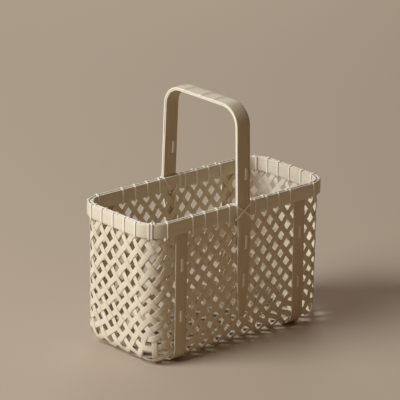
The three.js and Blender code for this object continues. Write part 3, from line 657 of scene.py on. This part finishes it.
def ringPoint(run, offset):  # a place round the rim, from the middle of the back
    arc = rimCorner * math.pi / 2
    legs = [(rimX, (-1, 0), (0, 1)), (2 * rimY, (0, -1), (-1, 0)), (2 * rimX, (1, 0), (0, -1)),
            (2 * rimY, (0, 1), (1, 0)), (rimX, (-1, 0), (0, 1))]
    spot = np.array((0.0, rimY + rimCorner))
    run = run % rimRound
    for n, (length, ahead, out) in enumerate(legs):
        ahead, out = np.array(ahead, float), np.array(out, float)
        if run <= length or n == len(legs) - 1:
            return spot + ahead * run + out * offset
        run -= length
        spot = spot + ahead * length
        if run <= arc:
            a = run / rimCorner
            facing = out * math.cos(a) + ahead * math.sin(a)
            return spot - out * rimCorner + facing * (rimCorner + offset)
        run -= arc
        spot = spot - out * rimCorner + ahead * rimCorner


def bandHoop(name, node, inner, full, start, shift):  # once round and past its start, ends thinned
    middle = (rim["low"] + rim["top"]) / 2
    overlap = rim["overlap"]
    runs = np.arange(start - overlap / 2, start + rimRound + overlap / 2, rim["step"])
    spots, shapes = [], []
    for run in runs:
        first = mix(rim["scarfThick"], full, min((run - runs[0]) / overlap, 1))
        last = mix(rim["scarfThick"], full, min((runs[-1] - run) / overlap, 1))
        thick = min(first, last)
        offset = inner + thick / 2 if first <= last else inner + full - thick / 2
        spots.append((*ringPoint(run, offset), middle))
        rounding = min(rim["rounding"], thick * roundShare)
        crown = min(rim["crown"], thick * rim["crownShare"])
        shapes.append(flatShape(rim["top"] - rim["low"], thick, rounding, crown))
    spots = np.array(spots)
    sideways = np.tile((0.0, 0.0, 1.0), (len(spots), 1))
    obj = sweptStrip(name, spots, sideways, np.array(shapes), lengthShift=shift)
    finishPiece(obj, [node], hoopMaterial)


innerFace = -rim["groove"] / 2 - rim["innerThick"]
bandHoop("outerHoop", "outer_rim_hoop", rim["groove"] / 2, rim["outerThick"], rim["scarfX"], 0.07)
bandHoop("innerHoop", "inner_rim_hoop", innerFace, rim["innerThick"], -rim["scarfX"], 0.9)
print("rim hoops bent")

# the straps that stand on the outside of the weave
strap = {
    "snug": 0.05 * mm,
    "ribX": 98.7 * mm,
    "ribWide": 18.5 * mm,
    "ribThick": 1.8 * mm,
    "tongueThick": 0.45 * mm,
    "tongueTop": 183 * mm,
    "edge": 0.45 * mm,
    "crown": 0.2 * mm,
    "unevenness": (0.006, 0.004),
    "step": 1.0 * mm,
    "softening": 8,
    "bendParts": 12,
    "nodeReach": 3.0 * mm,
    "markReach": 1.2 * mm,
    "markBeyond": 2.5 * mm,
}
weaveOut = splint["rise"] + splint["thick"] / 2


def strapFace(z):  # distance of a strap's inner face from the middle of the basket
    halfX, halfY, corner = outlineAt(z)
    return halfY + corner + weaveOut + strap["snug"]


def bentStrap(name, stops, x, edge, crown, shift, nodeSpots=()):
    # each stop of one half: distance out, height, thickness, width and lean to the side
    back = [(x + lean, u, z, thick, wide) for u, z, thick, wide, lean in stops]
    front = [(x + lean, -u, z, thick, wide) for u, z, thick, wide, lean in reversed(stops)]
    line = softLine(back + front, strap["step"], strap["softening"])
    ahead = np.gradient(line[:, :3], axis=0)
    way = 1.0 if stops[0][1] < stops[-1][1] else -1.0  # so that the thickness is laid outwards
    sideways = np.tile((way, 0.0, 0.0), (len(line), 1))
    outward = np.cross(ahead, sideways)
    outward /= np.linalg.norm(outward, axis=1)[:, None]
    run = runLength(line[:, :3])
    swell = np.zeros(len(line))
    marks = np.zeros(len(line))
    for spot, size in nodeSpots:
        away = np.abs(run - spot)
        swell += size * np.exp(-(away / strap["nodeReach"]) ** 2)
        marks += np.exp(-((run - spot - strap["markBeyond"]) / strap["markReach"]) ** 2)
    thick = line[:, 3] + swell
    slow, quick = strap["unevenness"]
    wide = line[:, 4] * (1 + slow * np.sin(run * 61 + x * 40) + quick * np.sin(run * 173 + 1))
    spots = line[:, :3] + outward * (thick / 2)[:, None]
    shapes = [flatShape(w, t, min(edge, t * roundShare), crown) for w, t in zip(wide, thick)]
    return sweptStrip(name, spots, sideways, np.array(shapes), lengthShift=shift, marks=marks)


def ribStops():  # from the thin tongue behind the rim down the wall to the middle of the base
    radius = wall["edgeRadius"] + weaveOut + strap["snug"]
    centre = wall["depth"] / 2 - wall["edgeRadius"]
    thick, wide = strap["ribThick"], strap["ribWide"]
    stops = [
        (strapFace(strap["tongueTop"]), strap["tongueTop"], strap["tongueThick"], wide, 0),
        (strapFace(wall["rimLow"]), wall["rimLow"] + 0.6 * mm, strap["tongueThick"], wide, 0),
        (strapFace(wall["rimLow"]), wall["rimLow"] - 0.8 * mm, thick, wide, 0),
    ]
    for n in range(strap["bendParts"] + 1):
        a = math.pi / 2 * (1 - n / strap["bendParts"])
        height = foot - radius * math.cos(a)
        stops.append((centre + radius * math.sin(a), height, thick, wide, 0))
    stops.append((0.0, foot - radius, thick, wide, 0))
    return stops


for name, x, shift in (("left", -strap["ribX"], 0.02), ("right", strap["ribX"], 0.11)):
    rib = bentStrap(f"{name}Rib", ribStops(), x, strap["edge"], strap["crown"], shift)
    finishPiece(rib, [f"{name}_rib"], strapPaintedShadeMaterial)
print("ribs bent")

# the handle: an outer strip from leg tip to leg tip and a thinner lining under the arch
handle = {
    "wide": 21.2 * mm,
    "top": 312.5 * mm,
    "bend": 27.7 * mm,
    "half": 69.0 * mm,
    "thick": 2.5 * mm,
    "lining": 1.7 * mm,
    "liningWide": 20.4 * mm,
    "liningLift": 0.2 * mm,
    "gap": 0.12 * mm,
    "rimFace": 69.8 * mm,
    "legTip": 36 * mm,
    "tipWide": 10 * mm,
    "tipThick": 1.2 * mm,
    "taperFrom": 98 * mm,
    "lean": 3.6 * mm,
    "leanFrom": 150 * mm,
    "offFrom": 100 * mm,
    "edge": 0.5 * mm,
    "crown": 0.3 * mm,
    "liningCrown": 0.1 * mm,
    "legWide": 19.6 * mm,
    "legThick": 2.0 * mm,
    "tipLength": 14 * mm,
    "fullFrom": 160 * mm,
    "tipShare": 0.9,
    "legHeights": (36, 37.5, 42, 50, 60, 75, 95, 110, 120, 130, 140, 150, 158, 165),
    "nodes": [(0.298, 0.6 * mm), (0.329, 0.8 * mm), (0.352, 0.6 * mm)],
}


def archStops(inside, thick, wide):  # the bend at one end of the arch, up to its flat top
    radius = handle["bend"] - inside - thick
    flat = handle["half"] - handle["bend"]
    heart = handle["top"] - handle["bend"]
    stops = []
    for n in range(strap["bendParts"] + 1):
        a = math.pi / 2 * n / strap["bendParts"]
        stops.append((flat + radius * math.cos(a), heart + radius * math.sin(a), thick, wide, 0))
    return stops


def legLean(z):
    t = min(max((wall["rimLow"] - z) / (wall["rimLow"] - handle["leanFrom"]), 0), 1)
    return handle["lean"] * t


def legWide(z):
    t = min(max((handle["taperFrom"] - z) / (handle["taperFrom"] - handle["legTip"]), 0), 1)
    return mix(handle["legWide"], handle["tipWide"], t ** 1.25)


def legFace(z):  # the leg stands off the weave a little where it comes down over the rim
    t = min(max((z - handle["offFrom"]) / (wall["rimLow"] - handle["offFrom"]), 0), 1)
    return mix(strapFace(z), handle["rimFace"], t * t)


def legThick(z):
    t = min(max((z - handle["offFrom"]) / (handle["fullFrom"] - handle["offFrom"]), 0), 1)
    full = mix(handle["legThick"], handle["thick"], t)
    return mix(handle["tipThick"], full, min((z - handle["legTip"]) / handle["tipLength"], 1))


def outerHandleStops():  # up the leg, wider where it crosses the rim, and into the arch
    thick, wide, low = handle["thick"], handle["wide"], wall["rimLow"]
    stops = []
    for z in (height * mm for height in handle["legHeights"]):
        narrow = legWide(z) * (1 if stops else handle["tipShare"])
        stops.append((legFace(z), z, legThick(z), narrow, legLean(z)))
    stops += [
        (handle["rimFace"], low + 1 * mm, thick, mix(handle["legWide"], wide, 0.4), 0.5 * mm),
        (handle["rimFace"], low + 9 * mm, thick, wide, 0),
        (handle["rimFace"], wall["rimTop"], thick, wide, 0),
    ]
    return stops + archStops(0, thick, wide)


def liningStops():  # from the top of the outer hoop
    inset = handle["gap"] + handle["lining"]
    wide = handle["liningWide"]
    first = (handle["rimFace"] - inset, wall["rimTop"] + handle["liningLift"], handle["lining"], wide, 0)
    return [first] + archStops(handle["thick"] + handle["gap"], handle["lining"], wide)


outerStrip = bentStrap(
    "handleOuterStrip", outerHandleStops(), 0, handle["edge"], handle["crown"], 0.03, handle["nodes"])
finishPiece(outerStrip, ["handle_outer_strip"], strapPaintedShadeMaterial)
liningStrip = bentStrap("handleLining", liningStops(), 0, handle["edge"], handle["liningCrown"], 0.6)
finishPiece(liningStrip, ["handle_lining_strip"], strapPaintedShadeMaterial)
print("handle bent")

# thin strands: stitches, lashings and the rim binding
strand = {
    "stitchWide": 3.8 * mm,
    "stitchThick": 1.3 * mm,
    "bindWide": 2.5 * mm,
    "bindThick": 0.8 * mm,
    "lashWide": 2.4 * mm,
    "lashThick": 0.8 * mm,
    "gap": 0.08 * mm,
    "crownShare": 0.3,
    "step": 0.8 * mm,
    "wrapShift": 1.3 * mm,
    "wrapsApart": 3.6 * mm,
    "runDepth": 3.4 * mm,
}


def strandPiece(name, stops, wide, thick, closed, rounds, shift):  # stops: place, way across
    line = softLine(stops, strand["step"], rounds, closed)
    shape = flatShape(wide, thick, thick * roundShare, thick * strand["crownShare"], parts=2)
    return sweptStrip(name, line[:, :3], line[:, 3:6], shape, closed, shift)


def stitchStrand(name, side, points, closed, shift):  # points: place along, out, height
    stops = [(x, side * u, z, 1, 0, 0) for x, u, z in points]
    return strandPiece(name, stops, strand["stitchWide"], strand["stitchThick"], closed, 2, shift)


def stitchLoop(name, x, side, low, high, inside, outside, shift):
    points = [(x, inside(low), low), (x, outside(low), low)]
    points += [(x, outside(high), high), (x, inside(high), high)]
    return stitchStrand(name, side, points, True, shift)


stitchOff = strand["gap"] + strand["stitchThick"] / 2


def behindWeave(z):
    return strapFace(z) - strap["snug"] - 2 * weaveOut - stitchOff


def overRib(z):
    return strapFace(z) + strap["ribThick"] + strap["crown"] + stitchOff


def overLeg(z):
    return legFace(z) + legThick(z) + handle["crown"] + stitchOff


ribStitches = {  # height of the middle, half the length and place across, on every rib
    "lower": (61.5 * mm, 7.0 * mm, -0.6 * mm),
    "upper": (128.5 * mm, 8.3 * mm, 0.3 * mm),
}
for ribName, x in (("left", -strap["ribX"]), ("right", strap["ribX"])):
    for wallName, side in (("front", -1), ("back", 1)):
        for level, (middle, reach, aside) in ribStitches.items():
            low, high = middle - reach, middle + reach
            name = f"{ribName}_rib_{wallName}_{level}_stitch"
            shift = len(name) * 0.13
            stitch = stitchLoop(name + "Strand", x + aside, side, low, high, behindWeave, overRib, shift)
            finishPiece(stitch, [name], strandMaterial)

# one strand for each leg, from a little above its first stitch to a little below its last
legStitches = [(136 * mm, 8.8 * mm, 6.0 * mm), (85 * mm, 9.0 * mm, 4.2 * mm)]
tailAbove, tailBelow = 22 * mm, 12 * mm
for wallName, side in (("front", -1), ("back", 1)):
    start = legStitches[0][0] + tailAbove
    points = [(legStitches[0][2], behindWeave(start), start)]
    for middle, reach, aside in legStitches:
        high, low = middle + reach, middle - reach
        points += [(aside, behindWeave(high), high), (aside, overLeg(high), high)]
        points += [(aside, overLeg(low), low), (aside, behindWeave(low), low)]
    points.append((aside, behindWeave(low), low - tailBelow))
    lacing = stitchStrand(f"{wallName}LegLacing", side, points, False, 0.3)
    finishPiece(lacing, [f"{wallName}_leg_lacing"], strandMaterial)


def archFace(z):
    t = (z - wall["rimTop"]) / (handle["top"] - handle["bend"] - wall["rimTop"])
    return handle["rimFace"] + (handle["half"] - handle["thick"] - handle["rimFace"]) * t


def underArch(z):
    return archFace(z) - handle["gap"] - handle["lining"] - stitchOff


def overArch(z):
    return archFace(z) + handle["thick"] + handle["crown"] + stitchOff


handleStitch = {"low": 218.5 * mm, "high": 233 * mm, "aside": 3.2 * mm}
for wallName, side in (("front", -1), ("back", 1)):
    name = f"handle{wallName.capitalize()}Stitch"
    low, high = handleStitch["low"], handleStitch["high"]
    stitch = stitchLoop(name, handleStitch["aside"], side, low, high, underArch, overArch, 0.5)
    finishPiece(stitch, [f"handle_{wallName}_stitch"], strandMaterial)


def lashingStops(side):  # in mm: place along, out and height, then the way across the strand
    gap = (strand["gap"] + strand["lashThick"] / 2) / mm
    groove = (rimY + rimCorner) / mm
    inner = groove + (innerFace - rim["crown"]) / mm - gap
    face = (handle["rimFace"] + handle["thick"] + handle["crown"]) / mm + gap
    top = rim["top"] / mm + gap
    low = rim["low"] / mm - 0.5
    edge = handle["wide"] / mm / 2
    hole = low - 4
    rows = [
        (edge + 2.3, inner, top - 16, 1, 0, 0),
        (edge + 2.3, inner, top - 0.5, 1, 0, 0),
        (edge + 2.3, inner + 0.5, top, 1, 0, 0),
        (edge + 2.3, face - 2.7, top, 1, 0, 0),
        (edge + 1.6, face - 1, top - 0.6, 0.85, 0, -0.5),
        (edge + 0.2, face, top - 1.7, 0.61, 0, -0.79),
        (-edge - 0.2, face, low + 1.2, 0.61, 0, -0.79),
        (-edge - 1.6, face - 2.4, low, 0.2, 0, -0.98),
        (-edge - 0.2, groove + 2.6, low - 1.4, 0, 0, -1),
        (-3.4, groove + 2.4, low - 3.4, 0, 0, -1),
        (-1.2, groove + 1.6, hole, 0, 0, -1),
        (-1.2, groove - 2.0, hole, 0, 0, -1),
        (-3.2, inner + 1.2, hole + 1.6, -0.5, 0, -0.85),
        (-5, inner, low + 1, -0.9, 0, -0.43),
        (-edge - 1.6, inner, top - 3, -0.95, 0, -0.3),
        (-edge - 2.3, inner, top - 0.5, -1, 0, 0),
        (-edge - 2.3, inner + 0.5, top, -1, 0, 0),
        (-edge - 2.3, face - 2.7, top, -1, 0, 0),
        (-edge - 1.6, face - 1, top - 0.6, -0.85, 0, -0.5),
        (-edge - 0.2, face, top - 1.7, -0.61, 0, -0.79),
        (-2.6, face + 0.75, top - 8.3, -0.61, 0, -0.79),
        (2.6, face + 0.75, top - 12.2, -0.61, 0, -0.79),
        (edge + 0.2, face, low + 1.2, -0.61, 0, -0.79),
        (edge + 1.6, face - 2.4, low, -0.2, 0, -0.98),
        (edge + 0.2, groove + 2.6, low - 1.4, 0, 0, -1),
        (3.4, groove + 2.4, low - 3.4, 0, 0, -1),
        (1.2, groove + 1.6, hole, 0, 0, -1),
        (1.2, groove - 2.0, hole, 0, 0, -1),
        (3.2, inner + 1.2, hole + 1.6, 0.5, 0, -0.85),
        (5, inner, low + 1, 0.9, 0, -0.43),
        (8, inner, low + 7, 0.9, 0, -0.43),
    ]
    return [(x * mm, side * u * mm, z * mm, wx, wy, wz) for x, u, z, wx, wy, wz in rows]


for wallName, side in (("front", -1), ("back", 1)):
    wide, thick = strand["lashWide"], strand["lashThick"]
    lash = strandPiece(f"{wallName}Lashing", lashingStops(side), wide, thick, False, 2, 0.2)
    finishPiece(lash, [f"handle_{wallName}_lashing"], strandMaterial)
print("stitches and lashings made")


# the half columns where each strand begins and ends, and those left without a wrap; the near corner is 0
bindings = [("left", -24, 12, (4, -16)), ("right", 52, 16, (24, 44))]
nearCornerWrap = 0  # two wraps lie side by side here


def rimStop(i, out, z, shift, across):  # a place on the rim at a half column, and the way across there
    side, s = columnAt(i)
    point, normal = placeOnWall(side, s, rim["low"] + 1 * mm - foot + arcLength)
    along = np.array((-normal[1], normal[0], 0.0))
    spot = point + normal * out + along * shift
    way = along if across == 0 else normal * across
    return (spot[0], spot[1], z, *way)


def bindingStops(start, end, skipped):  # along the groove, with a wrap at every hole column
    step = 1 if end > start else -1
    gap = strand["gap"] + strand["bindThick"] / 2
    hoopFace = rim["groove"] / 2
    face = hoopFace + rim["outerThick"] + rim["crown"] + gap
    back = innerFace - rim["crown"] - gap
    top, low = rim["top"] + gap, rim["low"] - gap
    run = rim["top"] - strand["runDepth"]
    shift = strand["wrapShift"]
    apart = strand["wrapsApart"] / 2
    stops = [rimStop(start - step, 0, run, 0, -step)]
    for i in range(start, end + step, step):
        if i % 2 or i in skipped:
            stops.append(rimStop(i, 0, run, 0, -step))
            continue
        turns, lead = ((-apart, apart), 1.2) if i == nearCornerWrap else ((0,), 2.6)
        for aside in turns:
            c = step * aside
            a, b = c - step * shift, c + step * shift
            stops += [
                rimStop(i, 0, run, c - step * shift * lead, -step),
                rimStop(i, hoopFace - 0.4 * mm, top - 0.2 * mm, a, 0),
                rimStop(i, face, top, a, 0),
                rimStop(i, face, low, a, 0),
                rimStop(i, hoopFace + 0.3 * mm, low - 1.6 * mm, mix(a, c, 0.2), 0),
                rimStop(i, -hoopFace - 0.3 * mm, low - 1.6 * mm, mix(b, c, 0.2), 0),
                rimStop(i, back, low, b, 0),
                rimStop(i, back, top, b, 0),
                rimStop(i, -hoopFace + 0.4 * mm, top - 0.2 * mm, b, 0),
                rimStop(i, 0, run, c + step * shift * lead, -step),
            ]
    return stops


for name, start, end, skipped in bindings:
    stops = bindingStops(start, end, skipped)
    wide, thick = strand["bindWide"], strand["bindThick"]
    binding = strandPiece(f"{name}RimBinding", stops, wide, thick, False, 1, 0.4)
    finishPiece(binding, [f"{name}_rim_binding"], strandMaterial)
print("rim bound")

# soft studio light, strongest from the basket's left end, and a pale floor
studio = {
    "world": (1.0, 0.50, 0.18),
    "worldStrength": 0.095,
    "key": {"place": (-3.50, 1.05, 2.80), "size": 3.0, "power": 254, "color": (0.89, 0.945, 1.0)},
    "fill": {"place": (1.4, -2.4, 1.2), "size": 2.2, "power": 1.0, "color": (1.0, 0.70, 0.40)},
    "back": {"place": (1.9, 2.2, 1.3), "size": 1.6, "power": 16, "color": (0.98, 0.99, 1.0)},
    "aimHeight": 0.12,
    "floorColor": (0.51, 0.41, 0.30),
    "floorRough": 0.8,
    "floorSize": 12,
    "floorHeight": -0.0002,
}


def softLamp(name, lamp):
    aim = Vector((0, 0, studio["aimHeight"])) - Vector(lamp["place"])
    turn = aim.to_track_quat("-Z", "Y").to_euler()
    bpy.ops.object.light_add(type="AREA", location=lamp["place"], rotation=turn)
    light = bpy.context.object
    light.name = name
    light.data.shape = "DISK"
    light.data.size = lamp["size"]
    light.data.energy = lamp["power"]
    light.data.color = lamp["color"]


for name in ("key", "fill", "back"):
    softLamp(name, studio[name])
world = bpy.data.worlds.new("paleStudio")
bpy.context.scene.world = world
world.use_nodes = True
background = world.node_tree.nodes["Background"]
background.inputs["Color"].default_value = (*studio["world"], 1)
background.inputs["Strength"].default_value = studio["worldStrength"]
bpy.context.scene.view_settings.view_transform = "Standard"

deselectAll()
bpy.ops.mesh.primitive_plane_add(size=studio["floorSize"], location=(0, 0, studio["floorHeight"]))
floor = bpy.context.object
floor.name = "paleFloor"
floorMaterial, floorNodes, _ = newMaterial("paleFloor")
floorShader = floorNodes["Principled BSDF"]
floorShader.inputs["Base Color"].default_value = (*studio["floorColor"], 1)
floorShader.inputs["Roughness"].default_value = studio["floorRough"]
floor.data.materials.append(floorMaterial)
